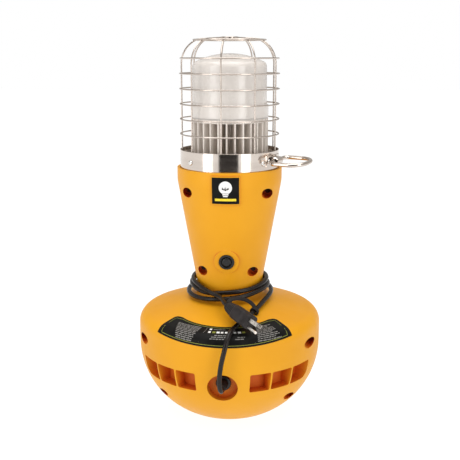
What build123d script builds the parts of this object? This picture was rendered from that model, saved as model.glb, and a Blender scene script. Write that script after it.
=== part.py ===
from build123d import *
import math
import os

# Self-righting LED work light: a weighted bowl base with a tapered neck, a steel
# collar, a wire cage over a frosted lens, and a mains cord wound round the neck.
# Millimetres. Origin at the centre of the flat foot, +Z up, the front faces -Y.

# ---------------------------------------------------------------- housing
WALL = 4.0
BASE_R = 165.5
BAND_LOW = 145.2            # the bowl's vertical band starts here
SHOULDER_Z = 196.8          # height where the band and the top cone would meet
SHOULDER_R = 23.6
TOP_SLOPE = 17.0            # degrees, fall of the base's top from neck to shoulder
BOWL_R = 144.5
BOWL_TURN = 64.6
NECK_BASE_R = 55.6          # radius where the top cone and the neck would meet
NECK_FOOT_R = 14.0
NECK_LEAN = 10.1            # degrees from vertical
NECK_R = 92.8
NECK_BEND_R = 60.0
NECK_TOP = 462.0
LIP_R = 88.4                # inside of the lip round the collar
LEDGE_Z = 450.0
LEDGE_R = 76.0

# ---------------------------------------------------------------- shell screws
SCREW_XZ = [(69.0, 423.0), (44.4, 281.0), (146.5, 162.0), (111.5, 65.0)]
BORE_R = 9.0
BORE_FLOOR = -22.0
BOSS_R = 12.0
NOSE_R = 6.5
SHANK_R = 1.85

# ---------------------------------------------------------------- base details
RECESS_Z = 107.5
RECESS_R = 26.0
RECESS_FLOOR = -135.0
RECESS_WALL = 3.5
POCKET_LOW = 98.0
POCKET_HIGH = 132.0
POCKET_R = 138.0
POCKET_ARCS = [(16.5, 29.7), (30.7, 44.8), (45.8, 62.0)]
POCKET_WALL = 3.0
POCKET_CORNER = 3.0
POCKET_TAPER = 13.0         # low outer corner of the last pocket in a group

# ---------------------------------------------------------------- switch
SWITCH_Z = 303.5
SWITCH_R = 68.3
SWITCH_BORE = 11.2

# ---------------------------------------------------------------- lamp head
COLLAR_R = 87.4
COLLAR_WALL = 1.2
COLLAR_TOP = 493.5
PLATE_T = 2.0
SINK_R = 68.0
SINK_TOP = 547.5
FINS = 29
LENS_R = 65.2
LENS_TOP = 658.0
LENS_CROWN_R = 136.0
WIRE = 2.7
BAR_R = 83.6
BAR_COUNT = 9
BAR_START = -5.4            # degrees from the front towards +X
CROWN_Z = 669.0
RING_R = 86.2
RING_TOP_Z = 649.7
RING_PITCH = 25.9
TOP_Z = 686.0

# ---------------------------------------------------------------- hanging ring
RING_AZ = 65.0
RING_PIVOT_R = 94.2
RING_PIVOT_Z = 478.0
RING_WIRE = 7.0
RING_HALF = 30.0
RING_REACH = 58.0
RING_ROLL = 5.0             # the ring's bar lies a little askew in its loose barrel
BRACKET_T = 1.6
RIVET_TURN = 11.5           # degrees from the bracket's centre to each rivet

# ---------------------------------------------------------------- cord
CORD = 8.4
GLAND_R = 13.0
RELIEF_LENGTH = 24.0
LEAD_ROUTE = [
    (0, -163.0, 107.5), (0, -173.5, 107.5), (-1.5, -180.0, 112.5), (-3.0, -182.0, 122.0),
    (-3.0, -181.5, 138.0), (-0.5, -181.0, 158.0), (4.0, -181.5, 177.5), (7.5, -177.5, 192.5),
    (11.0, -168.5, 204.0), (15.0, -156.0, 209.8), (20.0, -141.5, 210.2), (27.5, -125.0, 213.0),
    (38.0, -107.5, 218.0), (50.0, -89.5, 221.5), (60.5, -67.0, 228.5), (72.0, -38.5, 234.0),
]
WRAP_INNER = 62.2
WRAP_OUTER = 81.0
WRAP_LOW = 232.5
WRAP_HIGH = 264.0
PLUG_REAR = (7.8, -116.0, 237.0)
PLUG_FACE = (47.5, -158.7, 224.2)
PLUG_ROLL = 147.5           # degrees about the plug's axis; the ground pin ends up lowest
TAIL_ROUTE_START = (-8.0, -81.0, 243.0)
TAIL_LEAD_IN = 13.0
BLADE = (1.5, 6.3, 18.0)
BLADE_GAP = 12.7


def polar(radius, azimuth, z):
    """Point at an azimuth in degrees, measured from the front (-Y) towards +X."""
    a = math.radians(azimuth)
    return Vector(radius * math.sin(a), -radius * math.cos(a), z)


def turned(shape, azimuth):
    return Rot(0, 0, azimuth) * shape


def along_y(radius, y0, y1, x, z):
    """Cylinder parallel to Y between y0 and y1."""
    return Pos(x, (y0 + y1) / 2, z) * Rot(90, 0, 0) * Cylinder(radius, abs(y1 - y0))


def revolved(*points, radius=0):
    """Solid of revolution from (radius, height) corner points, all corners filleted."""
    edge = FilletPolyline(*points, radius=radius, close=True) if radius else Polyline(*points, close=True)
    return revolve(Plane.XZ * make_face(edge), Axis.Z)


def box(x0, x1, y0, y1, z0, z1):
    return Pos((x0 + x1) / 2, (y0 + y1) / 2, (z0 + z1) / 2) * Box(x1 - x0, y1 - y0, z1 - z0)


def tube_path(points):
    """Straight runs joined by tangent arcs, each as large as its two runs allow."""
    spots = [Vector(*p) for p in points]
    radii = []
    for a, b, c in zip(spots, spots[1:], spots[2:]):
        half_turn = math.radians((b - a).get_angle(c - b)) / 2
        radii.append(0.45 * min((b - a).length, (c - b).length) / math.tan(half_turn))
    return FilletPolyline(*spots, radius=radii), radii


def tube(points, diameter):
    path, radii = tube_path(points)
    start = Plane(origin=path @ 0, z_dir=path % 0)
    return sweep(start * Circle(diameter / 2), path), path, radii


# ================================================================ housing
def housing_solid(inset):
    """The housing's outside moved inward by inset (outward if negative), cut off at its top."""
    slope = math.radians(TOP_SLOPE)
    lean = math.radians(NECK_LEAN)
    side = BASE_R - inset
    # top cone and neck as lines, moved along their normals
    cone_drop = inset / math.cos(slope)
    neck_shift = inset / math.cos(lean)

    def cone_z(r):
        return SHOULDER_Z + (BASE_R - r) * math.tan(slope) - cone_drop

    neck_base_z = SHOULDER_Z + (BASE_R - NECK_BASE_R) * math.tan(slope)
    grow = math.tan(lean)
    # neck line: r = NECK_BASE_R - neck_shift + (z - neck_base_z) * grow
    root_r = (NECK_BASE_R - neck_shift + (cone_z(0) - neck_base_z) * grow) / (1 + math.tan(slope) * grow)
    neck_r = NECK_R - inset
    bend_z = neck_base_z + (neck_r - NECK_BASE_R + neck_shift) / grow
    top = NECK_TOP - max(inset, 0) if inset <= 0 else LEDGE_Z - WALL
    upper = FilletPolyline(
        (side, BAND_LOW), (side, cone_z(side)), (root_r, cone_z(root_r)), (neck_r, bend_z), (neck_r, top),
        radius=[SHOULDER_R - inset, NECK_FOOT_R + inset, NECK_BEND_R],
    )
    side_arc = JernArc((side, BAND_LOW), (0, -1), BOWL_R - inset, -BOWL_TURN)
    turn = math.radians(BOWL_TURN)
    centre_r = BASE_R - BOWL_R
    bottom_r = BOWL_R + centre_r / math.cos(turn)
    centre_z = BAND_LOW + centre_r * math.tan(turn)
    foot_r = math.sqrt((bottom_r - inset) ** 2 - (centre_z - inset) ** 2)
    foot_turn = math.degrees(math.acos(foot_r / (bottom_r - inset))) - BOWL_TURN
    bottom_arc = JernArc(side_arc @ 1, side_arc % 1, bottom_r - inset, -foot_turn)
    rest = Polyline(bottom_arc @ 1, (0, inset), (0, top), (neck_r, top))
    section = make_face([*upper.edges(), *side_arc.edges(), *bottom_arc.edges(), *rest.edges()])
    return revolve(Plane.XZ * section, Axis.Z)


def pocket_wedge(a0, a1, low, high, inner, outer):
    section = Pos((inner + outer) / 2, (low + high) / 2) * Rectangle(outer - inner, high - low)
    ring = revolve(Plane.XZ * section, Axis.Z, a1 - a0)
    return turned(ring, a0 - 90)


def is_radial(edge):
    """Straight level edge, as the four long edges of a pocket are."""
    return edge.geom_type == GeomType.LINE and abs((edge % 0).Z) < 0.01


def pockets(side):
    """The three pockets of one group; side is +1 towards +X, -1 towards -X, both at the front."""
    cuts = []
    for a0, a1 in POCKET_ARCS:
        wedge = pocket_wedge(a0, a1, POCKET_LOW, POCKET_HIGH, POCKET_R, BASE_R + 5)
        radial = wedge.edges().filter_by(is_radial)
        middle_x = polar(150, (a0 + a1) / 2, 0).X
        last = (a0, a1) == POCKET_ARCS[-1]
        tapered = [e for e in radial if last and e.center().Z < POCKET_LOW + 1 and e.center().X > middle_x]
        wedge = fillet([e for e in radial if e not in tapered], POCKET_CORNER)
        if tapered:
            low = [e for e in wedge.edges().filter_by(is_radial)
                   if abs(e.center().Z - POCKET_LOW) < 0.1 and e.center().X > middle_x]
            wedge = fillet(low, POCKET_TAPER)
        cuts.append(wedge if side > 0 else mirror(wedge, Plane.YZ))
    return cuts


def screw_spots():
    return [(sx * x, z) for x, z in SCREW_XZ for sx in (-1, 1)]


def switch_frame(offset=0.0):
    """Plane on the neck's front at the switch: z points out of the wall, y up it."""
    lean = math.radians(NECK_LEAN)
    normal = Vector(0, -math.cos(lean), -math.sin(lean))
    return Plane(origin=Vector(0, -SWITCH_R, SWITCH_Z) + normal * offset, x_dir=(1, 0, 0), z_dir=normal)


def on_switch(radius, z0, z1):
    return switch_frame() * Pos(0, 0, (z0 + z1) / 2) * Cylinder(radius, z1 - z0)


def build_shells():
    outer = housing_solid(0)
    cavity = housing_solid(WALL)
    collar_seat = Pos(0, 0, (LEDGE_Z + NECK_TOP + 5) / 2) * Cylinder(LIP_R, NECK_TOP + 5 - LEDGE_Z)
    ledge_hole = Pos(0, 0, LEDGE_Z) * Cylinder(LEDGE_R, 20)
    skin = outer - cavity - collar_seat - ledge_hole

    # raised seats for the badge and the switch
    badge_seat = (housing_solid(-1.4) - outer) & box(-24.6, 24.6, -120, -40, 407.6, 457.0)
    switch_seat = on_switch(22, -8, 0.7)
    rim = switch_seat.edges().sort_by(lambda e: (e.center() - switch_frame(0.7).origin).length)[0]
    switch_seat = chamfer(rim, 0.6)
    skin = skin + badge_seat + (switch_seat - cavity)

    front = skin & box(-200, 200, -200, 0, -1, 500)
    rear = skin & box(-200, 200, 0, 200, -1, 500)

    # cord recess: a cup let into the front of the bowl
    cup = along_y(RECESS_R + RECESS_WALL, -170, RECESS_FLOOR + 4, 0, RECESS_Z) & outer
    front = front + cup - along_y(RECESS_R, -200, RECESS_FLOOR, 0, RECESS_Z)
    front = front - along_y(10.9, -150, -120, 0, RECESS_Z)

    # pockets with their linings
    for side in (1, -1):
        lining = pocket_wedge(POCKET_ARCS[0][0] - 1.3, POCKET_ARCS[-1][1] + 1.3, POCKET_LOW - POCKET_WALL,
                              POCKET_HIGH + POCKET_WALL, POCKET_R - POCKET_WALL, BASE_R) & outer
        lining = lining if side > 0 else mirror(lining, Plane.YZ)
        cuts = pockets(side)
        front = front + lining
        rear = rear + mirror(lining, Plane.XZ)
        for cut in cuts:
            front = front - cut
            rear = rear - mirror(cut, Plane.XZ)

    # screw bosses: deep counterbores in front, pilot bosses behind
    for x, z in screw_spots():
        boss = along_y(BOSS_R, -170, BORE_FLOOR + 8, x, z) & outer
        front = front + boss + along_y(NOSE_R, BORE_FLOOR + 8, 0, x, z)
        rear = rear + (along_y(NOSE_R, 0, 170, x, z) & outer)
    for x, z in screw_spots():
        front = front - along_y(BORE_R, -200, BORE_FLOOR, x, z) - along_y(2.6, -40, 1, x, z)
        rear = rear - along_y(1.9, -1, 26, x, z)

    front = front - on_switch(SWITCH_BORE, -20, 5)
    return front, rear


def build_shell_screws():
    screws = []
    for x, z in screw_spots():
        head = along_y(4.4, BORE_FLOOR - 3.4, BORE_FLOOR, x, z)
        slot = box(x - 0.6, x + 0.6, BORE_FLOOR - 5, BORE_FLOOR - 1.6, z - 2.8, z + 2.8)
        cross = box(x - 2.8, x + 2.8, BORE_FLOOR - 5, BORE_FLOOR - 1.6, z - 0.6, z + 0.6)
        screws.append(head + along_y(SHANK_R, BORE_FLOOR, 24, x, z) - slot - cross)
    return Compound(children=screws)


# ================================================================ weight
def build_ballast():
    """Cast weight that fills the bowl's bottom, with bores for its four bolts."""
    bowl = housing_solid(WALL + 0.4) & Pos(0, 0, 20) * Cylinder(101, 40)
    weight = bowl & box(-110, 110, -110, 110, 0, 33)
    weight = weight - Pos(0, 0, 30) * Cylinder(24, 30)
    for x, z in screw_spots():
        if z < 80:
            weight = weight - along_y(NOSE_R + 7, -200, 200, x, z)
    for k in range(4):
        weight = weight - Pos(*polar(62, 45 + 90 * k, 20)) * Cylinder(3.3, 60)
    return weight


def build_ballast_screws():
    screws = []
    for k in range(4):
        at = Pos(*polar(62, 45 + 90 * k, 33))
        head = at * Pos(0, 0, 2.5) * extrude(RegularPolygon(6.5, 6), 2.5, both=True)
        screws.append(head + at * Pos(0, 0, -9) * Cylinder(3, 18))
    return Compound(children=screws)


# ================================================================ switch
def build_switch():
    bezel = on_switch(13.7, 0.7, 3.4) - on_switch(9.6, 0, 5)
    bezel = fillet(bezel.edges().filter_by(GeomType.CIRCLE).group_by(lambda e: e.center().Y)[0], 1.2)
    body = on_switch(10.6, -26, -0.2) - on_switch(9.0, -6.6, 1)
    neck = on_switch(10.6, -0.2, 0.7) - on_switch(9.0, -1, 1)
    body = body + neck
    nut = on_switch(14.5, -11.5, -7.5) - on_switch(10.65, -12, -7)
    button = on_switch(8.6, -3.5, 4.6)
    button = fillet(button.edges().filter_by(GeomType.CIRCLE).group_by(lambda e: e.center().Y)[0], 3.2)
    return bezel, body, nut, button


# ================================================================ labels
def build_badge():
    return (housing_solid(-2.2) - housing_solid(-1.4)) & box(-23, 23, -120, -40, 409.6, 455.0)


def build_label():
    """Banner that follows the base's top and shoulder."""
    skin = housing_solid(-0.45) - housing_solid(0)
    end = 45.2
    outer_corner = polar(190, end, 0)
    ear = polar(124, end - 1, 0)
    inner = ThreePointArc((-74, -97.5), (0, -133.0), (74, -97.5))
    rim = Polyline((74, -97.5), (ear.X, ear.Y), (outer_corner.X, outer_corner.Y),
                   (0, -200), (-outer_corner.X, outer_corner.Y), (-ear.X, ear.Y), (-74, -97.5))
    plan = make_face([*inner.edges(), *rim.edges()])
    ears = plan.vertices().sort_by(lambda v: abs(v.Y - ear.Y))[:2]
    plan = fillet(ears, 9)
    prism = Pos(0, 0, 150) * extrude(plan, 80)
    low_edge = ThreePointArc((-135, 192), (0, 181.5), (135, 192))
    low = make_face([*low_edge.edges(), *Polyline((135, 192), (135, 240), (-135, 240), (-135, 192)).edges()])
    front = extrude(Plane.XZ * low, 200)
    return skin & prism & front


# ================================================================ lamp head
def build_collar():
    band = revolved((COLLAR_R - COLLAR_WALL, LEDGE_Z), (COLLAR_R, LEDGE_Z), (COLLAR_R, COLLAR_TOP),
                    (COLLAR_R - COLLAR_WALL, COLLAR_TOP))
    band = fillet(band.edges().group_by(Axis.Z)[-1], 0.5)
    for az in (45, 135, 225, 315):
        band = band - turned(along_y(2.2, -95, -80, 0, 475), az)
    for side in (-1, 1):
        band = band - turned(along_y(1.85, -95, -80, 0, RING_PIVOT_Z), RING_AZ + side * RIVET_TURN)
    return band


def build_collar_screws():
    screws = []
    for az in (45, 135, 225, 315):
        dome = along_y(4.3, -90.0, -COLLAR_R - 0.02, 0, 475)
        dome = fillet(dome.edges().group_by(Axis.Y)[0], 2.2)
        screws.append(turned(dome + along_y(2.0, -COLLAR_R - 0.1, -85.2, 0, 475), az))
    return Compound(children=screws)


def build_foot_ring():
    ring = revolved((84.9, 452.2), (86.1, 452.2), (86.1, 486), (84.9, 486))
    for az in (45, 135, 225, 315):
        ring = ring - turned(along_y(2.2, -95, -80, 0, 475), az)
    return ring


def build_cage():
    """Nine bent bars, six hoops, the top hoop and the hub plate."""
    bars = []
    profile = [(BAR_R, 452.5), (BAR_R, CROWN_Z), (53.7, 682.1), (15.2, 684.2)]
    path = Plane.XZ * FilletPolyline(*profile, radius=[44.5, 20])
    bar = sweep(Plane(origin=path @ 0, z_dir=path % 0) * Circle(WIRE / 2), path)
    for k in range(BAR_COUNT):
        bars.append(turned(bar, BAR_START + 360 / BAR_COUNT * k - 90))
    hoops = []
    for k in range(6):
        radius = RING_R - (1.1 if k == 0 else 0)
        hoops.append(Pos(0, 0, RING_TOP_Z - RING_PITCH * k) * Torus(radius, WIRE / 2))
    top_hoop = Pos(0, 0, 680.6) * Torus(62.4, WIRE / 2)
    hub = Pos(0, 0, TOP_Z - 1.5) * Cylinder(15.5, 3)
    hub = fillet(hub.edges().group_by(Axis.Z)[-1], 1.2)
    return Compound(children=bars), hoops, top_hoop, hub


def build_heat_sink():
    low = LEDGE_Z + PLATE_T
    sink = Pos(0, 0, (low + SINK_TOP) / 2) * Cylinder(30, SINK_TOP - low)
    sink = sink + Pos(0, 0, SINK_TOP - 3) * Cylinder(SINK_R - 2, 6) + Pos(0, 0, low + 3) * Cylinder(60, 6)
    fin = box(0, 2.8, -SINK_R, -25, low, SINK_TOP)
    fin = Pos(-1.4, 0, 0) * fillet(fin.edges().filter_by(Axis.Z).group_by(Axis.Y)[0], 1.3)
    for k in range(FINS):
        sink = sink + turned(fin, 360 / FINS * k)
    return sink


def build_mount_plate():
    plate = Pos(0, 0, LEDGE_Z + PLATE_T / 2) * Cylinder(86.0, PLATE_T)
    for k in range(3):
        plate = plate - Pos(*polar(40, 60 + 120 * k, LEDGE_Z)) * Cylinder(2.3, 20)
    return plate - Pos(18, 0, LEDGE_Z) * Cylinder(5, 20)


def build_plate_screws():
    screws = []
    for k in range(3):
        at = Pos(*polar(40, 60 + 120 * k, LEDGE_Z))
        screws.append(at * Pos(0, 0, -1.7) * Cylinder(4, 3.4) + at * Pos(0, 0, 0.95) * Cylinder(2.0, 1.9))
    return Compound(children=screws)


def dome_arc(radius, r0, r1):
    """Arc of the lens crown between two distances from the axis."""
    def at(r):
        return r, LENS_TOP - LENS_CROWN_R + math.sqrt(radius ** 2 - r ** 2)
    return ThreePointArc(at(r0), at((r0 + r1) / 2), at(r1))


def build_lens():
    """Frosted dome with a wider skirt, open below."""
    rim, skin = 549.6, 2.8
    outer_dome = dome_arc(LENS_CROWN_R, 0, 54)
    inner_dome = dome_arc(LENS_CROWN_R - skin, 53, 0)
    outer_wall = FilletPolyline(
        outer_dome @ 1, (LENS_R - 0.6, 642.0), (LENS_R, 572.5), (68.2, 570.5), (68.2, rim), (62.2, rim),
        radius=[10.0, 1.5, 1.2, 0.8],
    )
    inner_wall = Polyline((62.2, rim), (62.2, 635), inner_dome @ 0)
    axis = Line(inner_dome @ 1, outer_dome @ 0)
    loop = [outer_dome, outer_wall, inner_wall, inner_dome, axis]
    return revolve(Plane.XZ * make_face([edge for line in loop for edge in line.edges()]), Axis.Z)


def build_led_board():
    board = Pos(0, 0, SINK_TOP + 0.8) * Cylinder(61, 1.6)
    chips = []
    for count, radius in ((1, 0), (6, 12), (12, 24), (18, 36), (24, 49)):
        for k in range(count):
            chips.append(turned(Pos(0, -radius, SINK_TOP + 2.0) * Box(3.4, 3.4, 0.8), 360 / count * k))
    gasket = revolved((61.6, SINK_TOP), (67.2, SINK_TOP), (67.2, 549.6), (61.6, 549.6))
    return board, Compound(children=chips), gasket


def build_driver():
    case = fillet(box(-30, 30, -22, 22, 340, 436).edges().filter_by(Axis.Z), 3)
    flange = box(-30, 30, 10, 22, 436, 440) + box(-36, 36, -20, 20, 440, 442)
    case = case + flange
    block = box(-16, 16, -10, 10, 300, 322)
    for k in range(3):
        block = block - Pos(-10 + 10 * k, 0, 311) * Cylinder(2.2, 30)
    posts = []
    for x in (-33, 33):
        posts.append(Pos(x, 0, 446) * Cylinder(3, 8))
    return case, block, Compound(children=posts)


# ================================================================ wiring
def build_wiring():
    routes = {
        "mains_wires": [
            [(0, -118.6, 107.5), (0, -70, 112), (10, -30, 160), (6, -14, 240), (0, 0, 285), (0, 0, 299.9)],
        ],
        "switch_wires": [
            [(-4, -41.9, 308.1), (-4, -30, 306), (-10, -10, 284), (-10, 0, 288), (-10, 0, 299.9)],
            [(4, -41.9, 308.1), (4, -32, 306.5), (10, -12, 286), (10, 0, 290), (10, 0, 299.9)],
        ],
        "driver_wires": [
            [(-10, 0, 322.1), (-10, 0, 328), (-8, 0, 334), (-8, 0, 339.9)],
            [(10, 0, 322.1), (10, 0, 328), (8, 0, 334), (8, 0, 339.9)],
        ],
    }
    groups = {}
    for name, runs in routes.items():
        size = 6.0 if name == "mains_wires" else 2.4
        groups[name] = Compound(children=[tube(points, size)[0] for points in runs])
    return groups


# ================================================================ hanging ring
def ring_frame():
    """Plane at the pivot: x runs along the bar, y away from the collar, z up."""
    out = polar(1, RING_AZ, 0)
    up = Vector(0, 0, 1)
    roll = math.radians(RING_ROLL)
    bar = up.cross(out) * math.cos(roll) + up * math.sin(roll)
    return Plane(origin=polar(RING_PIVOT_R, RING_AZ, RING_PIVOT_Z), x_dir=bar, z_dir=bar.cross(out))


def build_ring():
    frame = ring_frame()
    loop = frame * FilletPolyline((0, 0), (RING_HALF, 0), (RING_HALF, RING_REACH), (-RING_HALF, RING_REACH),
                                  (-RING_HALF, 0), (-1, 0), radius=[10, 26, 26, 10])
    wire = sweep(Plane(origin=loop @ 0, z_dir=loop % 0) * Circle(RING_WIRE / 2), loop)
    gap = frame * Pos(-0.5, 0, 0) * Rot(0, 90, 0) * Cylinder(RING_WIRE / 2, 1.0)
    return wire + gap


def build_bracket():
    low, high = RING_PIVOT_Z - 9.5, RING_PIVOT_Z + 9.5
    inner, outer = COLLAR_R + 0.02, COLLAR_R + BRACKET_T
    plate = revolved((inner, low), (outer, low), (outer, high), (inner, high))
    plate = plate & turned(box(-24, 24, -100, -80, low - 1, high + 1), RING_AZ)
    strap = box(-10, 10, -RING_PIVOT_R, -COLLAR_R - 0.6, RING_PIVOT_Z - 6.3, RING_PIVOT_Z + 6.3)
    strap = strap + Pos(0, -RING_PIVOT_R, RING_PIVOT_Z) * Rot(0, 90, 0) * Cylinder(6.3, 20)
    strap = strap - Pos(0, -RING_PIVOT_R, RING_PIVOT_Z) * Rot(0, 90, 0) * Cylinder(4.7, 60)
    shell = Pos(0, 0, RING_PIVOT_Z) * Cylinder(COLLAR_R + 0.02, 60)
    bracket = plate + (turned(strap, RING_AZ) - shell)
    for side in (-1, 1):
        bracket = bracket - turned(along_y(1.85, -100, -80, 0, RING_PIVOT_Z), RING_AZ + side * RIVET_TURN)
    return bracket


def build_rivets():
    rivets = []
    face = -COLLAR_R - BRACKET_T
    for side in (-1, 1):
        head = along_y(3.4, face - 1.9, face - 0.02, 0, RING_PIVOT_Z)
        head = fillet(head.edges().group_by(Axis.Y)[0], 1.5)
        shank = along_y(1.75, face - 0.1, -COLLAR_R + 1.3, 0, RING_PIVOT_Z)
        rivets.append(turned(head + shank, RING_AZ + side * RIVET_TURN))
    return Compound(children=rivets)


# ================================================================ cord and plug
def build_gland():
    """Gland flange and thread in the recess floor, its nut inside, and the tapered relief."""
    flange = along_y(GLAND_R, RECESS_FLOOR - 4, RECESS_FLOOR, 0, RECESS_Z)
    flange = fillet(flange.edges().group_by(Axis.Y)[0], 1.2)
    gland = flange + along_y(10.7, RECESS_FLOOR, RECESS_FLOOR + 16, 0, RECESS_Z)
    nut = along_y(14, RECESS_FLOOR + 4.1, RECESS_FLOOR + 10, 0, RECESS_Z)
    nut = nut - along_y(10.75, -150, -110, 0, RECESS_Z)
    relief = Cone(8.4, 5.3, RELIEF_LENGTH)
    relief = Pos(0, RECESS_FLOOR - 4 - RELIEF_LENGTH / 2, RECESS_Z) * Rot(90, 0, 0) * relief
    return gland, nut, relief


def plug_frame():
    rear, face = Vector(*PLUG_REAR), Vector(*PLUG_FACE)
    axis = (face - rear).normalized()
    level = Vector(0, 0, 1).cross(axis).normalized()
    roll = math.radians(PLUG_ROLL)
    across = level * math.cos(roll) + axis.cross(level) * math.sin(roll)
    return Plane(origin=rear, x_dir=across, z_dir=axis), (face - rear).length


def build_plug():
    frame, length = plug_frame()
    neck = Pos(0, 0, 9) * Cone(7.6, 10.2, 18)
    block = Pos(0, 0, 17 + (length - 17) / 2) * Box(22, 24, length - 17)
    block = fillet(block.edges().filter_by(Axis.Z), 7.5)
    block = fillet(block.edges().group_by(Axis.Z)[0], 3.0)
    block = fillet(block.edges().group_by(Axis.Z)[-1], 1.2)
    body = neck + block
    for k in range(4):
        z = 3.5 + 3.8 * k
        body = body - (Pos(0, 0, z) * Cylinder(12, 1.2) - Pos(0, 0, z) * Cylinder(6.8 + 0.15 * z, 1.4))
    blades = []
    for sx in (-1, 1):
        blade = Pos(sx * BLADE_GAP / 2, -3.5, length + BLADE[2] / 2) * Box(*BLADE)
        blade = chamfer(blade.edges().group_by(Axis.Z)[-1].filter_by(Axis.Y), 0.5)
        hole = Pos(sx * BLADE_GAP / 2, -3.5, length + BLADE[2] - 5.5) * Rot(0, 90, 0) * Cylinder(1.6, 5)
        blades.append(frame * (blade - hole))
    pin = Pos(0, 8.4, length + 10.5) * Cylinder(2.4, 21)
    pin = fillet(pin.edges().group_by(Axis.Z)[-1], 2.0)
    return frame * body, Compound(children=blades), frame * pin


def build_cord():
    frame, _ = plug_frame()
    lead, lead_path, lead_radii = tube(LEAD_ROUTE, CORD)
    lead_in = frame.origin - frame.z_dir * TAIL_LEAD_IN
    tail, tail_path, tail_radii = tube([TAIL_ROUTE_START, tuple(lead_in), tuple(frame.origin)], CORD)
    wrap = revolved((WRAP_INNER, WRAP_LOW), (WRAP_OUTER, WRAP_LOW), (WRAP_OUTER, WRAP_HIGH - 8),
                    (WRAP_INNER + 9, WRAP_HIGH), (WRAP_INNER, WRAP_HIGH))
    made = (("lead", lead, lead_path, lead_radii), ("tail", tail, tail_path, tail_radii))
    for name, solid, path, radii in made:
        ideal = math.pi * (CORD / 2) ** 2 * path.length
        print(f"cord {name}: length {path.length:.1f}, radii {[round(r) for r in radii]}, "
              f"volume ratio {solid.volume / ideal:.4f}")
    return lead, wrap, tail


# ================================================================ assembly
def main():
    parts = {}
    parts["front_shell"], parts["rear_shell"] = build_shells()
    parts["shell_screws"] = build_shell_screws()
    parts["ballast_weight"] = build_ballast()
    parts["ballast_screws"] = build_ballast_screws()
    parts["switch_bezel"], parts["switch_body"], parts["switch_nut"], parts["switch_button"] = build_switch()
    parts["badge_plate"] = build_badge()
    parts["base_label"] = build_label()
    parts["collar_band"] = build_collar()
    parts["collar_screws"] = build_collar_screws()
    parts["cage_foot_ring"] = build_foot_ring()
    bars, hoops, parts["cage_top_hoop"], parts["cage_hub"] = build_cage()
    parts["cage_bars"] = bars
    for k, hoop in enumerate(hoops):
        parts[f"cage_hoop_{k + 1}"] = hoop
    parts["heat_sink"] = build_heat_sink()
    parts["mount_plate"] = build_mount_plate()
    parts["mount_plate_screws"] = build_plate_screws()
    parts["lens"] = build_lens()
    parts["led_board"], parts["led_chips"], parts["lens_gasket"] = build_led_board()
    parts["led_driver"], parts["terminal_block"], parts["driver_posts"] = build_driver()
    parts.update(build_wiring())
    parts["hanging_ring"] = build_ring()
    parts["ring_bracket"] = build_bracket()
    parts["bracket_rivets"] = build_rivets()
    parts["cord_gland"], parts["gland_nut"], parts["strain_relief"] = build_gland()
    parts["plug_body"], parts["plug_blades"], parts["plug_ground_pin"] = build_plug()
    parts["cord_lead"], parts["cord_wrap"], parts["cord_tail"] = build_cord()

    os.makedirs("parts", exist_ok=True)
    for name, shape in parts.items():
        export_step(shape, f"parts/{name}.step")


main()
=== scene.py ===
import bpy
import bmesh
import math
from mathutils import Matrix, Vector
from mathutils.bvhtree import BVHTree


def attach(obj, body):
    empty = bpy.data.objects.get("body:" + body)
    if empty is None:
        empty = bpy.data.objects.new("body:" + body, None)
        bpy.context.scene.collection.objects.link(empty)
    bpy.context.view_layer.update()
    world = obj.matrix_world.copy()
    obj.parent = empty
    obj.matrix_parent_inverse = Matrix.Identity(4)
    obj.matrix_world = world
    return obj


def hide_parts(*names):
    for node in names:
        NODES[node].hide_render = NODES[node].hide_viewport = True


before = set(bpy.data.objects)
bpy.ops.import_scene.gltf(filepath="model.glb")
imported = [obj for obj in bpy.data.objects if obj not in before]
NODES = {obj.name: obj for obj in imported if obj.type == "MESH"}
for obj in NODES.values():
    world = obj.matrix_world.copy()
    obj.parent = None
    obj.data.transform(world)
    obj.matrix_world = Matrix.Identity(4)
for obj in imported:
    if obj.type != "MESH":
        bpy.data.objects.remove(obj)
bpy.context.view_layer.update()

SCENE = bpy.context.scene
MM = 0.001
ROOT = "housing"

# camera, in metres and degrees
CAMERA_DISTANCE = 1.3878
CAMERA_HEIGHT = 0.6528
CAMERA_AZIMUTH = 4.4
CAMERA_PITCH = 12.494
CAMERA_LENS = 61.34
CAMERA_SHIFT = 0.00087

# studio, in metres and watts
FLOOR_SIZE = 14
FLOOR_COLOUR = (0.20, 0.20, 0.20)
FLOOR_GLOW = 0.93
FLAG_LEFT = -0.80
FLAG_RIGHT = 0.98
FLAG_Y = -2.2
FLAG_TOP = 1.7
FLAG_COLOUR = (0.012, 0.009, 0.008)
SURROUNDINGS_COLOUR = (0.93, 0.90, 0.87, 1)
SURROUNDINGS_STRENGTH = 0.56
# name, place, point that it faces, width, height, power
SOFTBOXES = [
    ("left_softbox", (-1.50, -1.45, 0.72), (0, 0, 0.38), 0.80, 1.44, 11.0),
    ("right_softbox", (1.42, -1.60, 0.72), (0, 0, 0.38), 0.74, 1.44, 10.0),
    ("top_softbox", (0, -0.3, 2.4), (0, 0, 0.3), 2.4, 2.4, 44),
]

# mains cord, the route of the CAD tube in millimetres
CORD_DIAMETER = 8.4
LEAD_ROUTE = [
    (0, -163.0, 107.5), (0, -173.5, 107.5), (-1.5, -180.0, 112.5), (-3.0, -182.0, 122.0),
    (-3.0, -181.5, 138.0), (-0.5, -181.0, 158.0), (4.0, -181.5, 177.5), (7.5, -177.5, 192.5),
    (11.0, -168.5, 204.0), (15.0, -156.0, 209.8), (20.0, -141.5, 210.2), (27.5, -125.0, 213.0),
    (38.0, -107.5, 218.0), (50.0, -89.5, 221.5), (60.5, -67.0, 228.5), (72.0, -38.5, 234.0),
]
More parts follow.
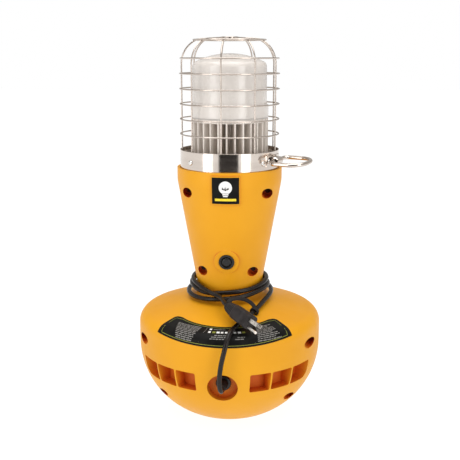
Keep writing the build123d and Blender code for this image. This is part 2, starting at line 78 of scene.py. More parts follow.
# turns round the neck: degrees from the front towards +X, distance from the axis, height
WRAP_KEYS = [
    (78, 78.5, 235.5), (100, 76, 237), (140, 72, 239), (180, 70, 240), (230, 72, 238), (270, 75, 235.5),
    (300, 77, 234), (320, 77, 233.5), (345, 76.5, 236.5), (360, 75, 238.3), (380, 74, 240), (395, 73, 243),
    (415, 72, 247), (450, 71, 248), (500, 69, 249), (540, 68.5, 250), (590, 69, 250.5), (630, 70, 250),
    (655, 69.5, 248), (673, 69.5, 245), (691, 69, 243.5), (710, 67.5, 246), (730, 67, 248.4),
    (746, 67, 249), (765, 67.5, 251.6), (790, 68, 256), (830, 68.5, 258.5), (900, 67, 259.5),
    (960, 66.5, 259.5), (1001, 67, 257.5), (1031, 69, 254.5), (1047, 73, 250.5), (1060, 78, 247),
]
WRAP_STEP = 18
PLUG_REAR = Vector((7.8, -116.0, 237.0))
PLUG_FACE = Vector((47.5, -158.7, 224.2))
PLUG_ROLL = 147.5
TAIL_ROUTE = [(-8.0, -81.0, 243.0), (-0.8, -106.7, 239.8), tuple(PLUG_REAR)]

# keeper strap of the cord, in millimetres
STRAP_PATH = [
    (6.0, -113.5, 243.0), (8.6, -110.0, 246.6), (14.0, -104.5, 248.2), (24.3, -96.0, 246.4),
    (34.5, -90.5, 242.5), (43.0, -88.5, 237.0), (48.2, -88.8, 232.0), (50.5, -89.8, 228.6),
]
STRAP_RING = (50.0, -89.5, 221.5)
STRAP_RING_AXIS = (10.5, 22.5, 7.0)

# outside of the base, in millimetres
BASE_R = 165.5
SHOULDER_Z = 196.8
SHOULDER_R = 23.6
TOP_SLOPE = math.radians(17)


# ---------------------------------------------------------------- materials
def new_material(name):
    material = bpy.data.materials.new(name)
    material.use_nodes = True
    shader = material.node_tree.nodes["Principled BSDF"]
    return material, material.node_tree, shader


def noise(tree, scale, detail=2.0, stretch=(1, 1, 1)):
    """Noise in the object's own coordinates; stretch draws it out along an axis."""
    place = tree.nodes.new("ShaderNodeTexCoord")
    mapping = tree.nodes.new("ShaderNodeMapping")
    mapping.inputs["Scale"].default_value = stretch
    texture = tree.nodes.new("ShaderNodeTexNoise")
    texture.inputs["Scale"].default_value = scale
    texture.inputs["Detail"].default_value = detail
    tree.links.new(place.outputs["Object"], mapping.inputs["Vector"])
    tree.links.new(mapping.outputs["Vector"], texture.inputs["Vector"])
    return texture.outputs["Fac"]


def remap(tree, value, low, high, from_low=0.3, from_high=0.7):
    node = tree.nodes.new("ShaderNodeMapRange")
    node.inputs["From Min"].default_value = from_low
    node.inputs["From Max"].default_value = from_high
    node.inputs["To Min"].default_value = low
    node.inputs["To Max"].default_value = high
    tree.links.new(value, node.inputs["Value"])
    return node.outputs["Result"]


def shade(tree, value, dark, light, low=0.35, high=0.65):
    ramp = tree.nodes.new("ShaderNodeValToRGB")
    ramp.color_ramp.elements[0].position = low
    ramp.color_ramp.elements[1].position = high
    ramp.color_ramp.elements[0].color = (*dark, 1)
    ramp.color_ramp.elements[1].color = (*light, 1)
    tree.links.new(value, ramp.inputs["Fac"])
    return ramp.outputs["Color"]


def bump(tree, shader, value, distance, strength=1.0, previous=None):
    node = tree.nodes.new("ShaderNodeBump")
    node.inputs["Distance"].default_value = distance
    node.inputs["Strength"].default_value = strength
    tree.links.new(value, node.inputs["Height"])
    if previous is not None:
        tree.links.new(previous, node.inputs["Normal"])
    tree.links.new(node.outputs["Normal"], shader.inputs["Normal"])
    return node.outputs["Normal"]


def finish_of(name, dark, light, roughness, grain, grain_depth, metallic=0.0, patch=14.0, stretch=(1, 1, 1),
              coat=0.0, coat_roughness=0.1, specular=0.5):
    """A surface with cloudy colour change, uneven gloss and a fine grain."""
    material, tree, shader = new_material(name)
    tree.links.new(shade(tree, noise(tree, patch, 4, stretch), dark, light), shader.inputs["Base Color"])
    gloss = noise(tree, patch * 3.7, 3, stretch)
    tree.links.new(remap(tree, gloss, *roughness), shader.inputs["Roughness"])
    if metallic < 1:
        coarse = bump(tree, shader, noise(tree, grain * 0.12, 2, stretch), grain_depth * 1.6, 0.4)
        bump(tree, shader, noise(tree, grain, 2, stretch), grain_depth, 0.6, coarse)
    else:
        bump(tree, shader, noise(tree, grain * 0.3, 1, stretch), grain_depth, 0.08)
    shader.inputs["Metallic"].default_value = metallic
    shader.inputs["Coat Weight"].default_value = coat
    shader.inputs["Coat Roughness"].default_value = coat_roughness
    shader.inputs["Specular IOR Level"].default_value = specular
    return material


STEEL = dict(metallic=1.0, specular=0.5)
PRINT = dict(patch=300, specular=0.1)
BRIGHT_PRINT = dict(patch=300, specular=0.2)

# material name, darkest and lightest colour, roughness range, grain scale, grain depth in metres, the rest
FINISHES = {
    "housing": ("amber_plastic", (0.735, 0.325, 0.006), (0.775, 0.352, 0.008), (0.42, 0.52), 1500, 0.00005,
                dict(patch=9, coat=0.03, coat_roughness=0.3, specular=0.22)),
    "polished": ("polished_steel", (0.60, 0.53, 0.475), (0.69, 0.62, 0.56), (0.11, 0.15), 260, 0.00002,
                 dict(patch=20, stretch=(0.15, 0.15, 3), **STEEL)),
    "wire": ("drawn_wire", (0.50, 0.44, 0.39), (0.62, 0.55, 0.495), (0.16, 0.22), 300, 0.00001,
             dict(patch=9, **STEEL)),
    "screw": ("bright_screw", (0.74, 0.73, 0.71), (0.84, 0.83, 0.81), (0.14, 0.26), 900, 0.00002,
              dict(patch=120, **STEEL)),
    "zinc": ("zinc_screw", (0.40, 0.40, 0.42), (0.56, 0.56, 0.55), (0.30, 0.5), 900, 0.00003,
             dict(patch=120, **STEEL)),
    "oxide": ("black_oxide_screw", (0.035, 0.024, 0.020), (0.065, 0.045, 0.038), (0.45, 0.6), 900, 0.00003,
              dict(metallic=0.6, patch=120)),
    "sink": ("extruded_aluminium", (0.72, 0.66, 0.60), (0.82, 0.755, 0.695), (0.36, 0.50), 900, 0.00003,
             dict(metallic=0.15, patch=40, stretch=(1.6, 1.6, 0.08))),
    "iron": ("cast_iron", (0.05, 0.05, 0.052), (0.10, 0.10, 0.105), (0.6, 0.85), 300, 0.0003,
             dict(metallic=0.6, patch=30)),
    "black": ("black_plastic", (0.005, 0.005, 0.005), (0.010, 0.010, 0.011), (0.22, 0.36), 1600, 0.00004,
              dict(patch=40, specular=0.4)),
    "rubber": ("black_rubber", (0.008, 0.007, 0.007), (0.018, 0.016, 0.016), (0.42, 0.62), 1400, 0.00006,
               dict(patch=50, specular=0.25)),
    "gasket": ("silicone_gasket", (0.50, 0.47, 0.44), (0.60, 0.57, 0.54), (0.5, 0.65), 1400, 0.00004,
               dict(patch=50, specular=0.3)),
    "cord": ("cord_jacket", (0.008, 0.006, 0.005), (0.017, 0.013, 0.011), (0.20, 0.30), 1200, 0.00005,
             dict(patch=35, specular=0.24)),
    "plug": ("plug_vinyl", (0.014, 0.011, 0.011), (0.026, 0.021, 0.021), (0.42, 0.56), 1000, 0.00008,
             dict(patch=60, specular=0.25)),
    "blade": ("blade_metal", (0.86, 0.81, 0.75), (0.94, 0.90, 0.84), (0.24, 0.38), 700, 0.00003,
              dict(patch=150, **STEEL)),
    "label": ("label_film", (0.004, 0.004, 0.004), (0.009, 0.009, 0.008), (0.36, 0.48), 900, 0.00003,
              dict(patch=50, specular=0.10)),
    "ink_white": ("ink_white", (0.78, 0.78, 0.76), (0.88, 0.88, 0.86), (0.40, 0.5), 900, 0.00002,
                  BRIGHT_PRINT),
    "ink_grey": ("ink_grey", (0.17, 0.165, 0.155), (0.27, 0.26, 0.245), (0.42, 0.55), 900, 0.00002, PRINT),
    "ink_yellow": ("ink_yellow", (0.80, 0.60, 0.03), (0.90, 0.70, 0.05), (0.40, 0.5), 900, 0.00002,
                   BRIGHT_PRINT),
    "ink_lime": ("ink_lime", (0.19, 0.21, 0.04), (0.27, 0.29, 0.06), (0.42, 0.55), 900, 0.00002, PRINT),
    "board": ("solder_mask", (0.80, 0.80, 0.78), (0.88, 0.88, 0.86), (0.3, 0.45), 900, 0.00003, {}),
    "chip": ("led_phosphor", (0.85, 0.70, 0.16), (0.93, 0.80, 0.25), (0.3, 0.5), 900, 0.00003, {}),
    "lens": ("frosted_lens", (0.665, 0.617, 0.574), (0.715, 0.667, 0.622), (0.24, 0.34), 900, 0.00005,
             dict(patch=12, coat=0.5, coat_roughness=0.05, specular=0.5)),
}
# painted shade: the darker, redder colour laid into shut-in places such as the housing's pockets and screw
# holes
PAINTED_CAVITY_SHADE_COLOUR = (0.60, 0.105, 0.008, 1)
CAVITY_REACH = 0.035
LENS_SCATTER = 0.35


def make_materials():
    made = {key: finish_of(*finish[:-1], **finish[-1]) for key, finish in FINISHES.items()}
    scatter_light(made["lens"])
    paint_cavity_shade(made["housing"])
    return made


def scatter_light(material):
    """Makes the lens milky, so that light goes a little way into it."""
    shader = material.node_tree.nodes["Principled BSDF"]
    shader.inputs["Subsurface Weight"].default_value = LENS_SCATTER
    shader.inputs["Subsurface Radius"].default_value = (0.02, 0.02, 0.02)
    shader.inputs["Subsurface Scale"].default_value = 0.5


def paint_cavity_shade(material):
    """Painted shade: darkens and reddens the colour where the surface is shut in, as in the pockets and screw
    holes, standing for the shade that falls there.
    """
    tree = material.node_tree
    shader = tree.nodes["Principled BSDF"]
    plain = shader.inputs["Base Color"].links[0].from_socket
    # painted shade: ambient occlusion picks the shut-in places that get the painted shade colour
    shut_in = tree.nodes.new("ShaderNodeAmbientOcclusion")
    shut_in.samples = 6
    shut_in.only_local = True
    shut_in.inputs["Distance"].default_value = CAVITY_REACH
    mix = tree.nodes.new("ShaderNodeMixRGB")
    tree.links.new(remap(tree, shut_in.outputs["AO"], 1.0, 0.0, 0.45, 0.92), mix.inputs[0])
    tree.links.new(plain, mix.inputs[1])
    mix.inputs[2].default_value = PAINTED_CAVITY_SHADE_COLOUR
    tree.links.new(mix.outputs["Color"], shader.inputs["Base Color"])


MATERIAL_NODES = {
    "housing": ["front_shell", "rear_shell"],
    "polished": ["collar_band", "hanging_ring", "ring_bracket"],
    "wire": ["cage_bars", "cage_top_hoop", "cage_hub"] + [f"cage_hoop_{k}" for k in range(1, 7)],
    "sink": ["cage_foot_ring", "heat_sink", "mount_plate", "led_driver"],
    "screw": ["collar_screws", "bracket_rivets"],
    "zinc": ["ballast_screws", "mount_plate_screws", "driver_posts"],
    "oxide": ["shell_screws"],
    "iron": ["ballast_weight"],
    "black": ["switch_bezel", "switch_body", "switch_nut", "switch_button", "cord_gland", "gland_nut"],
    "rubber": ["mains_wires", "switch_wires", "driver_wires", "strain_relief"],
    "gasket": ["lens_gasket"],
    "lens": ["lens"],
    "label": ["badge_plate", "base_label"],
    "board": ["led_board", "terminal_block"],
    "chip": ["led_chips"],
    "cord": ["cord_lead", "cord_wrap", "cord_tail"],
    "plug": ["plug_body"],
    "blade": ["plug_blades", "plug_ground_pin"],
}


def dress_nodes(materials):
    for key, names in MATERIAL_NODES.items():
        for name in names:
            piece = NODES[name]
            if not piece.material_slots:
                piece.data.materials.append(materials[key])
            for place in piece.material_slots:
                place.material = materials[key]


# ---------------------------------------------------------------- mesh helpers
def add_piece(name, mesh, material, body=ROOT):
    piece = bpy.data.objects.new(name, mesh)
    SCENE.collection.objects.link(piece)
    mesh.materials.append(material)
    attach(piece, body)
    return piece


def mesh_from(name, points, faces, smooth=True):
    mesh = bpy.data.meshes.new(name)
    mesh.from_pydata([tuple(p) for p in points], [], faces)
    mesh.update()
    work = bmesh.new()
    work.from_mesh(mesh)
    bmesh.ops.recalc_face_normals(work, faces=work.faces)
    work.to_mesh(mesh)
    work.free()
    for face in mesh.polygons:
        face.use_smooth = smooth
    return mesh


def loft(name, sections, ring=False):
    """Skin through sections that all have the same number of points; a ring joins its ends."""
    count = len(sections[0])
    points = [p for section in sections for p in section]
    faces = []
    for i in range(len(sections) - (not ring)):
        after = (i + 1) % len(sections)
        for j in range(count):
            k = (j + 1) % count
            faces.append((i * count + j, i * count + k, after * count + k, after * count + j))
    if not ring:
        faces.append(tuple(range(count)))
        faces.append(tuple(range((len(sections) - 1) * count, len(sections) * count)))
    return mesh_from(name, points, faces)


def frame_at(origin, axis, across):
    """Function from (x, y, distance along the axis), in millimetres, to a point in metres."""
    side = axis.cross(across)
    return lambda x, y, z: (origin + across * x + side * y + axis * z) * MM


def superellipse(half_x, half_y, power, count=40):
    ring = []
    for k in range(count):
        a = math.tau * (k + 0.5) / count
        c, s = math.cos(a), math.sin(a)
        r = (abs(c / half_x) ** power + abs(s / half_y) ** power) ** (-1 / power)
        ring.append((r * c, r * s))
    return ring


# ---------------------------------------------------------------- cord
def polar(azimuth, radius, z):
    a = math.radians(azimuth)
    return radius * math.sin(a), -radius * math.cos(a), z


def wrap_points():
    """The turns round the neck, at even steps of azimuth between the keys."""
    points = []
    azimuth = WRAP_KEYS[0][0]
    while azimuth <= WRAP_KEYS[-1][0]:
        for (a0, r0, z0), (a1, r1, z1) in zip(WRAP_KEYS, WRAP_KEYS[1:]):
            if a0 <= azimuth <= a1:
                t = (azimuth - a0) / (a1 - a0)
                points.append(polar(azimuth, r0 + (r1 - r0) * t, z0 + (z1 - z0) * t))
                break
        azimuth += WRAP_STEP
    return points


def nurbs(name, points, radius):
    curve = bpy.data.curves.new(name, "CURVE")
    curve.dimensions = "3D"
    curve.resolution_u = 8
    curve.bevel_depth = radius
    curve.bevel_resolution = 5
    curve.use_fill_caps = True
    spline = curve.splines.new("NURBS")
    spline.points.add(len(points) - 1)
    for spot, point in zip(spline.points, points):
        spot.co = (*(Vector(point) * MM), 1)
    spline.order_u = 3
    spline.use_endpoint_u = True
    return curve


def spline_length(curve):
    """Length of the curve's own line."""
    bare = curve.copy()
    bare.bevel_depth = 0
    holder = bpy.data.objects.new("measure", bare)
    line = bpy.data.meshes.new_from_object(holder)
    spots = [v.co.copy() for v in line.vertices]
    bpy.data.objects.remove(holder)
    bpy.data.curves.remove(bare)
    bpy.data.meshes.remove(line)
    return sum((b - a).length for a, b in zip(spots, spots[1:]))


def make_cord(materials, strap):
    curve = nurbs("mains_cord", LEAD_ROUTE + wrap_points() + TAIL_ROUTE, CORD_DIAMETER / 2 * MM)
    cord = add_piece("mains_cord", curve, materials["cord"])
    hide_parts("cord_lead", "cord_wrap", "cord_tail")
    round(spline_length(curve), 3)
    return cord


def plug_axes():
    axis = (PLUG_FACE - PLUG_REAR).normalized()
    level = Vector((0, 0, 1)).cross(axis).normalized()
    roll = math.radians(PLUG_ROLL)
    return axis, level * math.cos(roll) + axis.cross(level) * math.sin(roll)


NECK_RIBS = 5
RIB_PITCH = 3.4
BLOCK_X = 11.8
BLOCK_Y = 12.8


def plug_sections(length):
    """Distance along the plug, half sizes and squareness of each of its sections."""
    sections = [(0.0, 4.6, 4.6, 2.0), (0.1, 6.6, 7.0, 2.4)]
    for k in range(NECK_RIBS):
        start = 0.6 + RIB_PITCH * k
        rib = 8.6 + 0.45 * k
        for offset, size in ((0.0, rib - 1.2), (0.5, rib), (2.1, rib + 0.1), (2.5, rib - 1.1)):
            sections.append((start + offset, size, size * 1.08, 2.6 + 0.2 * k))
    # distance, how much smaller than the block, squareness
    block = [
        (17.8, 1.8, 3.6), (18.6, 0.5, 3.8), (21.0, 0.1, 4.0), (27.0, 0, 4.2), (34.0, 0, 4.6), (45.0, 0, 4.8),
        (45.8, 0.4, 4.8), (46.8, 0.4, 4.8), (47.6, 0, 4.8),
        (length - 2.0, 0, 4.8), (length - 0.7, 0.4, 4.8), (length, 1.2, 4.8),
    ]
    return sections + [(along, BLOCK_X - less, BLOCK_Y - less, power) for along, less, power in block]


def make_plug(materials):
    """Moulded vinyl plug: ribbed neck, flared shoulders, flat face and a thumb groove."""
    axis, across = plug_axes()
    place = frame_at(PLUG_REAR, axis, across)
    rings = []
    for along, half_x, half_y, power in plug_sections((PLUG_FACE - PLUG_REAR).length):
        rings.append([place(x, y, along) for x, y in superellipse(half_x, half_y, power)])
    plug = add_piece("plug_moulding", loft("plug_moulding", rings), materials["plug"])
    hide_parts("plug_body")
    return plug


def torus_sections(centre, axis, major, half_across, half_along, count=28):
    """Closed band round an axis, as sections for loft."""
    axis = Vector(axis).normalized()
    side = axis.cross(Vector((0, 0, 1))).normalized()
    up = side.cross(axis)
    rings = []
    for k in range(count):
        a = math.tau * k / count
        out = side * math.cos(a) + up * math.sin(a)
        rings.append([(Vector(centre) + out * (major + x) + axis * y) * MM
                      for x, y in superellipse(half_across, half_along, 3.0, 12)])
    return rings


STRAP_STEPS = 5
STRAP_HALF_WIDTH = 3.9
STRAP_HALF_DEPTH = 1.1
STRAP_UP = Vector((0.25, -0.62, 0.75))


def smooth_path(spots, steps):
    """Catmull-Rom curve through the spots."""
    fine = []
    for i in range(len(spots) - 1):
        before, here, there = spots[max(i - 1, 0)], spots[i], spots[i + 1]
        after = spots[min(i + 2, len(spots) - 1)]
        for k in range(steps):
            t = k / steps
            square = (2 * before - 5 * here + 4 * there - after) * t ** 2
            cube = (3 * here - before - 3 * there + after) * t ** 3
            fine.append(0.5 * (2 * here + (there - before) * t + square + cube))
    fine.append(spots[-1])
    return fine


def make_strap(materials):
    """Keeper strap: a flat rubber strap from a collar behind the plug to a loop round the lead."""
    fine = smooth_path([Vector(p) for p in STRAP_PATH], STRAP_STEPS)
    flat = superellipse(STRAP_HALF_WIDTH, STRAP_HALF_DEPTH, 3.5, 20)
    sections = []
    for i, spot in enumerate(fine):
        along = (fine[min(i + 1, len(fine) - 1)] - fine[max(i - 1, 0)]).normalized()
        wide = along.cross(STRAP_UP).normalized()
        thick = wide.cross(along)
        sections.append([(spot + wide * x + thick * y) * MM for x, y in flat])
    axis, _ = plug_axes()
    meshes = [
        loft("keeper_strap", sections),
        loft("keeper_loop", torus_sections(STRAP_RING, STRAP_RING_AXIS, 6.6, 1.5, 3.4), ring=True),
        loft("keeper_collar", torus_sections(PLUG_REAR - axis * 2.4, axis, 6.3, 1.4, 2.2), ring=True),
    ]
    return [add_piece(mesh.name, mesh, materials["rubber"]) for mesh in meshes]


RELIEF_Y = -139.0
RELIEF_LENGTH = 24.0
RELIEF_GROOVES = 5


def make_relief(materials):
    """Tapered strain relief with grooves, out of the gland."""
    profile = [(0.0, 8.4)]
    for k in range(RELIEF_GROOVES):
        start = 2.6 + 4.0 * k
        outer = 8.2 - 0.62 * k
        profile += [(start, outer), (start + 0.35, outer - 1.3), (start + 1.25, outer - 1.4),
                    (start + 1.6, outer - 0.2)]
    profile += [(RELIEF_LENGTH - 1.0, 5.5), (RELIEF_LENGTH, 4.9)]
    height = LEAD_ROUTE[0][2]
    count = 32
    rings = []
    for along, radius in profile:
        ring = []
        for k in range(count):
            a = math.tau * k / count
            ring.append(Vector((radius * math.cos(a), RELIEF_Y - along, height + radius * math.sin(a))) * MM)
        rings.append(ring)
    relief = add_piece("relief_boot", loft("relief_boot", rings), materials["rubber"])
    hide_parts("strain_relief")
    return relief


# ---------------------------------------------------------------- label graphics
SHOULDER_AZ = math.pi / 2 - TOP_SLOPE
SHOULDER_CENTRE_R = BASE_R - SHOULDER_R
SHOULDER_CENTRE_Z = (SHOULDER_Z + (BASE_R - SHOULDER_CENTRE_R) * math.tan(TOP_SLOPE)
                     - SHOULDER_R / math.cos(TOP_SLOPE))


def on_base(s, azimuth, lift):
    """Point on the base's top: s runs inward along the cone, and down the shoulder where negative."""
    if s < 0:
        phi = SHOULDER_AZ + s / SHOULDER_R
        r = SHOULDER_CENTRE_R + (SHOULDER_R + lift) * math.cos(phi)
        z = SHOULDER_CENTRE_Z + (SHOULDER_R + lift) * math.sin(phi)
    else:
        r = SHOULDER_CENTRE_R + (SHOULDER_R + lift) * math.cos(SHOULDER_AZ) - s * math.cos(TOP_SLOPE)
        z = SHOULDER_CENTRE_Z + (SHOULDER_R + lift) * math.sin(SHOULDER_AZ) + s * math.sin(TOP_SLOPE)
    return Vector(polar(azimuth, r, z)) * MM


LABEL_INNER_R = 94.9
LABEL_INNER_SHIFT = 38.1
LABEL_OUTER_R = 164.0
LABEL_OUTER_Z = 181.5
LABEL_SAG_R = 873.1


def inner_edge(azimuth):
    """s of the label's inner edge: a circle about a point in front of the axis."""
    a = math.radians(azimuth)
    aside = LABEL_INNER_SHIFT * math.sin(a)
    r = LABEL_INNER_SHIFT * math.cos(a) + math.sqrt(LABEL_INNER_R ** 2 - aside ** 2)
    cone_start = SHOULDER_CENTRE_R + SHOULDER_R * math.cos(SHOULDER_AZ)
    return (cone_start - r) / math.cos(TOP_SLOPE)


def outer_edge(azimuth):
    """s of the label's outer edge, which sags at the front."""
    x = LABEL_OUTER_R * math.sin(math.radians(azimuth))
    z = LABEL_OUTER_Z + LABEL_SAG_R - math.sqrt(LABEL_SAG_R ** 2 - x ** 2)
    phi = math.asin((z - SHOULDER_CENTRE_Z) / SHOULDER_R)
    return -(SHOULDER_AZ - phi) * SHOULDER_R


def ribbon(path, width, lift, place):
    """Flat strip of the given width along (u, v) points, laid on a surface by place(u, v, lift)."""
    sides = []
    for i, point in enumerate(path):
        before = Vector(path[i - 1] if i else path[i])
        after = Vector(path[i + 1] if i + 1 < len(path) else path[i])
        along = (after - before).normalized()
        normal = Vector((-along.y, along.x)) * width / 2
        sides.append((Vector(point) + normal, Vector(point) - normal))
    points = [place(*side, lift) for pair in sides for side in pair]
    faces = [(2 * i, 2 * i + 2, 2 * i + 3, 2 * i + 1) for i in range(len(path) - 1)]
    return points, faces


def slab(points, faces, towards, depth):
    """Gives a sheet a thickness, so that it is a closed piece."""
    count = len(points)
    low = [p - towards(p) * depth for p in points]
    edges = {}
    for face in faces:
        for a, b in zip(face, face[1:] + face[:1]):
            edges[(a, b)] = True
    walls = [(a, b, b + count, a + count) for a, b in edges if (b, a) not in edges]
    back = [tuple(i + count for i in reversed(face)) for face in faces]
    return points + low, list(faces) + back + walls


def join(parts):
    points, faces = [], []
    for more_points, more_faces in parts:
        start = len(points)
        points += more_points
        faces += [tuple(i + start for i in face) for face in more_faces]
    return points, faces


def base_normal(point):
    flat = Vector((point.x, point.y, 0)).normalized()
    r = Vector((point.x, point.y, 0)).length / MM
    if r < SHOULDER_CENTRE_R + SHOULDER_R * math.cos(SHOULDER_AZ):
        return flat * math.sin(TOP_SLOPE) + Vector((0, 0, math.cos(TOP_SLOPE)))
    away = Vector((r - SHOULDER_CENTRE_R, 0, point.z / MM - SHOULDER_CENTRE_Z)).normalized()
    return flat * away.x + Vector((0, 0, away.z))


AZ_TO_MM = math.tau / 360 * 150
PRINT_LIFT = 0.62
PRINT_DEPTH = 0.25 * MM
LABEL_END = 42.0
LABEL_STEPS = 36
PINSTRIPE_INSET = 3.6
HEADING_V = 8.2
BLOCK_PITCH = 7.2
LINE_PITCH = 3.4
SIDE_ROWS = 10


def label_place(u, v, lift):
    """u is a length round the base in mm from the front, v is s."""
    return on_base(v, u / AZ_TO_MM, lift)


def printed(path, width):
    """Strip of print along (u, v) points on the label."""
    return slab(*ribbon(path, width, PRINT_LIFT, label_place), base_normal, PRINT_DEPTH)


def label_bar(u0, u1, v, height, slant=0.0):
    steps = max(2, int(abs(u1 - u0) / 4))
    return printed([(u0 + (u1 - u0) * k / steps, v + slant * k / steps) for k in range(steps + 1)], height)


def note_line(u0, u1, v, height, row, slant=0.0):
    """A row of blank bars of uneven length, standing for a line of print."""
    bars = []
    u = u0
    step = row
    slope = slant / (u1 - u0)
    while u < u1 - 1.0:
        step = (step * 5 + 3) % 11
        end = min(u + 2.2 + 0.75 * step, u1)
        bars.append(label_bar(u, end, v + slope * (u - u0), height, slope * (end - u)))
        u = end + 1.1
    return bars


def rounded(path, passes=2):
    """Closed outline with its corners cut back."""
    for _ in range(passes):
        path = [(a[0] * (1 - t) + b[0] * t, a[1] * (1 - t) + b[1] * t)
                for a, b in zip(path, path[1:] + path[:1]) for t in (0.2, 0.8)]
    return path


def label_outline():
    """The pinstripe's line, just inside the label's edge."""
    azimuths = [-LABEL_END + 2 * LABEL_END * k / LABEL_STEPS for k in range(LABEL_STEPS + 1)]
    low = [(a * AZ_TO_MM, outer_edge(a) + PINSTRIPE_INSET) for a in azimuths]
    high = [(a * AZ_TO_MM, inner_edge(a) - PINSTRIPE_INSET - max(0, abs(a) - 35) * 0.75)
            for a in reversed(azimuths)]
    return rounded(low + high)


def panel_divider(top_u, low_u):
    top = min(14.0, inner_edge(top_u / AZ_TO_MM) - 5)
    return printed([(top_u, top), ((top_u + low_u) / 2, -2.0), (low_u, -20.5)], 0.5)


def middle_panel():
    """Heading, a row of blocks and a few lines: the grey, white and lime parts."""
    grey = note_line(-17, 4, HEADING_V, 1.2, 3)
    white, lime = [label_bar(-24, -20, HEADING_V, 3.6)], []
    for k in range(9):
        u = -25 + BLOCK_PITCH * k
        block = label_bar(u, u + (5.4 if k % 3 else 4.4), 0.6, 4.4)
        (lime if k in (1, 8) else white).append(block)
    for k, (u0, u1) in enumerate(((-13, 9), (-18, 6), (-20, 8))):
        grey += note_line(u0, u1, -6.6 - LINE_PITCH * k, 1.5, k)
    for k, (u0, u1) in enumerate(((24, 36), (20, 34))):
        grey += note_line(u0, u1, -10.0 - LINE_PITCH * k, 1.5, k + 2)
    return grey, white, lime


def side_panels():
    lines = []
    for k in range(SIDE_ROWS):
        lines += note_line(-92 + 1.6 * k, -41 - 0.9 * k, 12.6 - LINE_PITCH * k, 1.7, k, -2.0)
    for k in range(SIDE_ROWS):
        short = 9 if k in (1, 5, 8) else 0
        lines += note_line(60 - 0.5 * k, 91 + 0.7 * k - short, 12.0 - LINE_PITCH * k, 1.5, k + 5, 1.5)
    return lines


def make_label_graphics(materials):
    """Blank bars, blocks and lines where a label would carry print."""
    outline = label_outline()
    stripe = mesh_from("label_pinstripe", *printed(outline + outline[:2], 0.9), smooth=False)
    add_piece("label_pinstripe", stripe, materials["ink_lime"])
    grey, white, lime = middle_panel()
    grey = [panel_divider(-28.6, -36.6), panel_divider(45.0, 51.8)] + grey + side_panels()
    for name, parts, ink in (("label_lines", grey, "ink_grey"), ("label_blocks", white, "ink_white"),
                             ("label_accents", lime, "ink_lime")):
        add_piece(name, mesh_from(name, *join(parts), smooth=False), materials[ink])


# ---------------------------------------------------------------- badge graphics
BADGE_CENTRE_Z = 0.4323
INK_LIFT = 0.22
INK_DEPTH = 0.2 * MM
FILAMENT_LIFT = 0.4
FILAMENT_DEPTH = 0.15 * MM
FILAMENT = [(-5.2, 6.0), (-2.6, 1.8), (0, 6.2), (2.6, 1.8), (5.2, 6.0)]
BULB_R = 11.2
BULB_V = 5.6


def badge_surface():
    badge = NODES["badge_plate"]
    mesh = badge.data
    tree = BVHTree.FromPolygons([badge.matrix_world @ v.co for v in mesh.vertices],
                                [tuple(p.vertices) for p in mesh.polygons])

    def place(u, v, lift):
        """u, v in mm from the badge's centre, laid on it from the front."""
        start = Vector((u * MM, -0.3, BADGE_CENTRE_Z + v * MM))
        spot, normal, _, _ = tree.ray_cast(start, Vector((0, 1, 0)))
        return spot + normal * lift * MM
    return place, tree


def make_badge_graphics(materials):
    """Generic picture: a lamp bulb over a bright bar."""
    place, tree = badge_surface()

    def towards(point):
        return tree.find_nearest(point)[1]

    def bar(path, width, lift=INK_LIFT, depth=INK_DEPTH):
        return slab(*ribbon(path, width, lift, place), towards, depth)

    def sheet(outline):
        middle = (sum(p[0] for p in outline) / len(outline), sum(p[1] for p in outline) / len(outline))
        points = [place(*middle, INK_LIFT)] + [place(u, v, INK_LIFT) for u, v in outline]
        count = len(outline)
        faces = [(0, k + 1, (k + 1) % count + 1) for k in range(count)]
        return slab(points, faces, towards, INK_DEPTH)

    bulb = []
    for k in range(33):
        a = math.radians(-60 + 300 * k / 32)
        bulb.append((BULB_R * math.cos(a), BULB_V + BULB_R * math.sin(a)))
    white = [
        sheet(bulb[::-1]),
        bar([(2.6 * k, -6.0) for k in range(-2, 3)], 2.2),
        bar([(2.0 * k, -9.0) for k in range(-2, 3)], 2.0),
    ]
    yellow = [bar([(-18 + 4 * k, -15.4) for k in range(10)], 4.2)]
    black = [bar(FILAMENT, 1.3, FILAMENT_LIFT, FILAMENT_DEPTH)]
    for name, parts, ink in (("badge_bulb", white, "ink_white"), ("badge_bar", yellow, "ink_yellow"),
                             ("badge_filament", black, "label")):
        add_piece(name, mesh_from(name, *join(parts), smooth=False), materials[ink])


# ---------------------------------------------------------------- studio
def area_light(name, place, aim, width, height, power):
    data = bpy.data.lights.new(name, "AREA")
    data.shape = "RECTANGLE"
    data.size = width
    data.size_y = height
    data.energy = power
    light = bpy.data.objects.new(name, data)
    light.location = place
    light.rotation_euler = (Vector(aim) - Vector(place)).to_track_quat("-Z", "Y").to_euler()
    SCENE.collection.objects.link(light)


def card(name, corners, colour):
    mesh = mesh_from(name, [Vector(c) for c in corners], [(0, 1, 2, 3)], smooth=False)
    material, _, shader = new_material(name)
    shader.inputs["Base Color"].default_value = (*colour, 1)
    shader.inputs["Roughness"].default_value = 0.9
    shader.inputs["Specular IOR Level"].default_value = 0.1
    mesh.materials.append(material)
    piece = bpy.data.objects.new(name, mesh)
    SCENE.collection.objects.link(piece)
    return piece


def make_floor():
    """White paper: mostly its own glow, so that the object casts almost no shadow on it."""
    size = FLOOR_SIZE
    corners = [(-size, -size, 0), (size, -size, 0), (size, size, 0), (-size, size, 0)]
    floor = card("floor", corners, FLOOR_COLOUR)
    paper = floor.data.materials[0].node_tree.nodes["Principled BSDF"]
    paper.inputs["Emission Color"].default_value = (1, 1, 1, 1)
    paper.inputs["Emission Strength"].default_value = FLOOR_GLOW


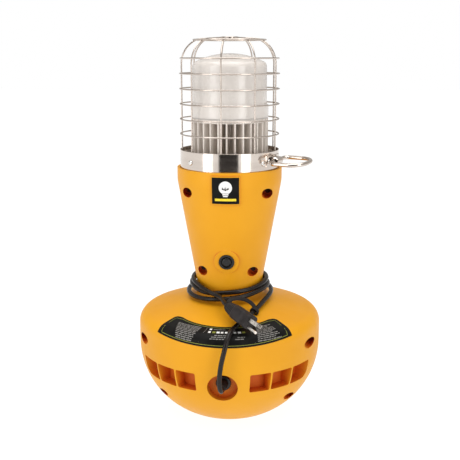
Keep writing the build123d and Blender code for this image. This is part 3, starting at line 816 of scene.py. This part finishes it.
def make_flag():
    """Dark card in front, seen only in reflections: it puts the dark band in the middle of the collar."""
    left, right, y, top = FLAG_LEFT, FLAG_RIGHT, FLAG_Y, FLAG_TOP
    flag = card("front_flag", [(left, y, 0.0), (right, y, 0.0), (right, y, top), (left, y, top)], FLAG_COLOUR)
    flag.visible_camera = False
    flag.visible_diffuse = False
    flag.visible_shadow = False
    flag.visible_transmission = False


def make_world():
    """Warm grey surroundings to light by, behind a white backdrop."""
    world = bpy.data.worlds.new("studio")
    world.use_nodes = True
    tree = world.node_tree
    surroundings = tree.nodes["Background"]
    surroundings.inputs["Color"].default_value = SURROUNDINGS_COLOUR
    surroundings.inputs["Strength"].default_value = SURROUNDINGS_STRENGTH
    backdrop = tree.nodes.new("ShaderNodeBackground")
    backdrop.inputs["Color"].default_value = (1, 1, 1, 1)
    backdrop.inputs["Strength"].default_value = 1.0
    seen = tree.nodes.new("ShaderNodeLightPath")
    mix = tree.nodes.new("ShaderNodeMixShader")
    tree.links.new(seen.outputs["Is Camera Ray"], mix.inputs["Fac"])
    tree.links.new(surroundings.outputs["Background"], mix.inputs[1])
    tree.links.new(backdrop.outputs["Background"], mix.inputs[2])
    tree.links.new(mix.outputs["Shader"], tree.nodes["World Output"].inputs["Surface"])
    SCENE.world = world


def make_studio():
    make_floor()
    make_flag()
    for light in SOFTBOXES:
        area_light(*light)
    make_world()
    SCENE.view_settings.view_transform = "Standard"


def make_camera():
    azimuth = math.radians(CAMERA_AZIMUTH)
    data = bpy.data.cameras.new("camera")
    data.sensor_width = 36
    data.lens = CAMERA_LENS
    data.shift_x = CAMERA_SHIFT
    data.clip_start = 0.01
    camera = bpy.data.objects.new("camera", data)
    camera.location = (
        CAMERA_DISTANCE * math.sin(azimuth), -CAMERA_DISTANCE * math.cos(azimuth), CAMERA_HEIGHT)
    camera.rotation_euler = (math.radians(90 - CAMERA_PITCH), 0, azimuth)
    SCENE.collection.objects.link(camera)
    SCENE.camera = camera


def main():
    make_camera()
    materials = make_materials()
    dress_nodes(materials)
    plug = make_plug(materials)
    relief = make_relief(materials)
    make_cord(materials, make_strap(materials))
    make_label_graphics(materials)
    make_badge_graphics(materials)
    make_studio()


main()
